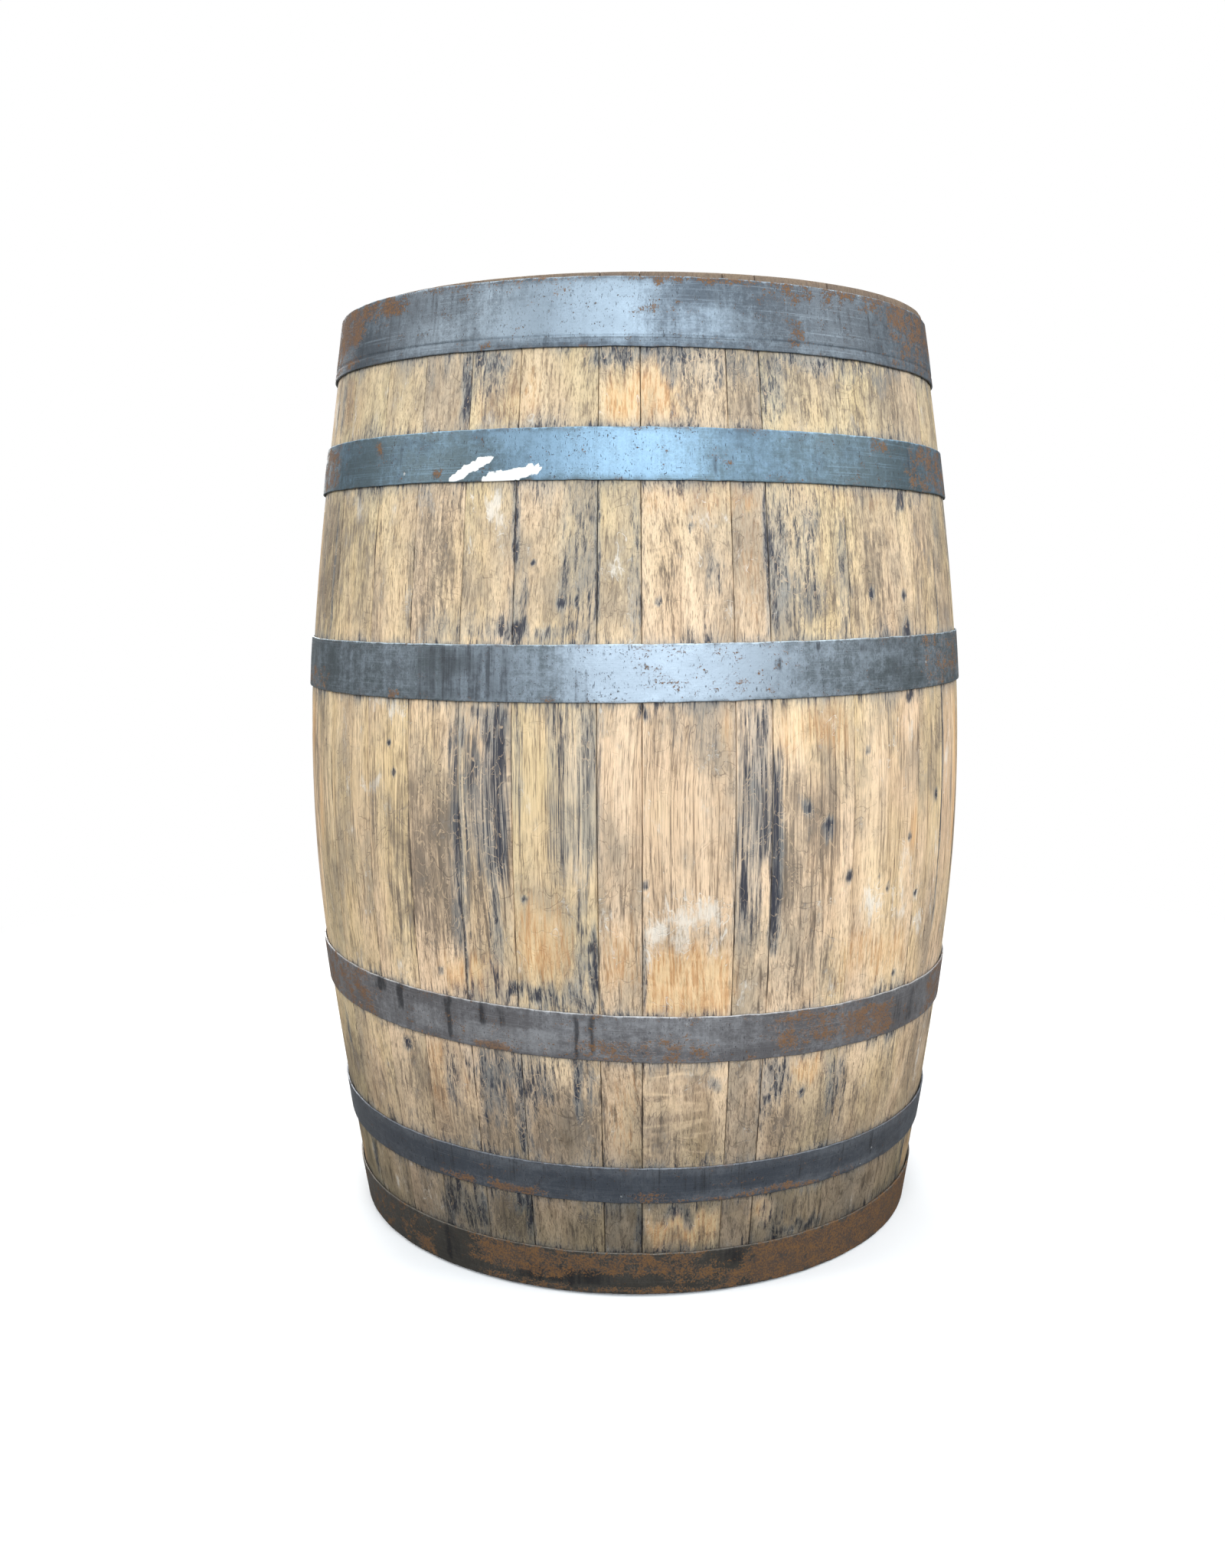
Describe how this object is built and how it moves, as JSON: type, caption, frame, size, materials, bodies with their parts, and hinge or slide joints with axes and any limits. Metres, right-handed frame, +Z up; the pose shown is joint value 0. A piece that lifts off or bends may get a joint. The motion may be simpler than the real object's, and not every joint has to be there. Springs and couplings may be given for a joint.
{
  "type": "oak wine barrel",
  "caption": "Upright oak barrel of bent staves held by riveted steel hoops, with boarded heads and a tapered bung that pulls out of the side.",
  "frame": {"origin": "centre of the ring of stave ends that the barrel stands on", "axes": "+Z up along the barrel's axis, -Y out of the front, +Y out through the bung hole at the back, +X to the right of a viewer who faces the front"},
  "size_m": [0.6645, 0.6694, 0.89],
  "materials": {
    "stave_oak": "bare weathered oak, grey and blue-black stained near the hoops",
    "head_oak": "bare weathered oak, dusty",
    "hoop_steel": "dark bare steel with mill scale, pits and light rust",
    "rusted_hoop_steel": "dark steel under heavy orange-brown rust",
    "rivet_steel": "dark hammered steel",
    "bung_poplar": "bare turned poplar"
  },
  "bodies": {
    "barrel": {"bottom_head_board_1": "head_oak", "bottom_head_board_2": "head_oak", "bottom_head_board_3": "head_oak", "bottom_head_board_4": "head_oak", "bottom_head_board_5": "head_oak", "bung_stave": "stave_oak", "lower_bilge_hoop": "hoop_steel", "lower_bilge_hoop_rivet_1": "rivet_steel", "lower_bilge_hoop_rivet_2": "rivet_steel", "lower_chime_hoop": "rusted_hoop_steel", "lower_chime_hoop_rivet_1": "rivet_steel", "lower_chime_hoop_rivet_2": "rivet_steel", "lower_quarter_hoop": "hoop_steel", "lower_quarter_hoop_rivet_1": "rivet_steel", "lower_quarter_hoop_rivet_2": "rivet_steel", "stave_01": "stave_oak", "stave_02": "stave_oak", "stave_03": "stave_oak", "stave_04": "stave_oak", "stave_05": "stave_oak", "stave_06": "stave_oak", "stave_07": "stave_oak", "stave_08": "stave_oak", "stave_09": "stave_oak", "stave_10": "stave_oak", "stave_11": "stave_oak", "stave_12": "stave_oak", "stave_13": "stave_oak", "stave_14": "stave_oak", "stave_15": "stave_oak", "stave_16": "stave_oak", "stave_17": "stave_oak", "stave_18": "stave_oak", "stave_19": "stave_oak", "stave_20": "stave_oak", "stave_21": "stave_oak", "stave_23": "stave_oak", "stave_24": "stave_oak", "stave_25": "stave_oak", "stave_26": "stave_oak", "stave_27": "stave_oak", "stave_28": "stave_oak", "stave_29": "stave_oak", "stave_30": "stave_oak", "stave_31": "stave_oak", "top_head_board_1": "head_oak", "top_head_board_2": "head_oak", "top_head_board_3": "head_oak", "top_head_board_4": "head_oak", "top_head_board_5": "head_oak", "upper_bilge_hoop": "hoop_steel", "upper_bilge_hoop_rivet_1": "rivet_steel", "upper_bilge_hoop_rivet_2": "rivet_steel", "upper_chime_hoop": "hoop_steel", "upper_chime_hoop_rivet_1": "rivet_steel", "upper_chime_hoop_rivet_2": "rivet_steel", "upper_quarter_hoop": "hoop_steel", "upper_quarter_hoop_rivet_1": "rivet_steel", "upper_quarter_hoop_rivet_2": "rivet_steel"},
    "bung": {"bung": "bung_poplar"}
  },
  "joints": [
    {"name": "bung_pull", "type": "slide", "parent": "barrel", "child": "bung", "axis": [0, 1, 0], "range_m": [0, 0.06]}
  ]
}
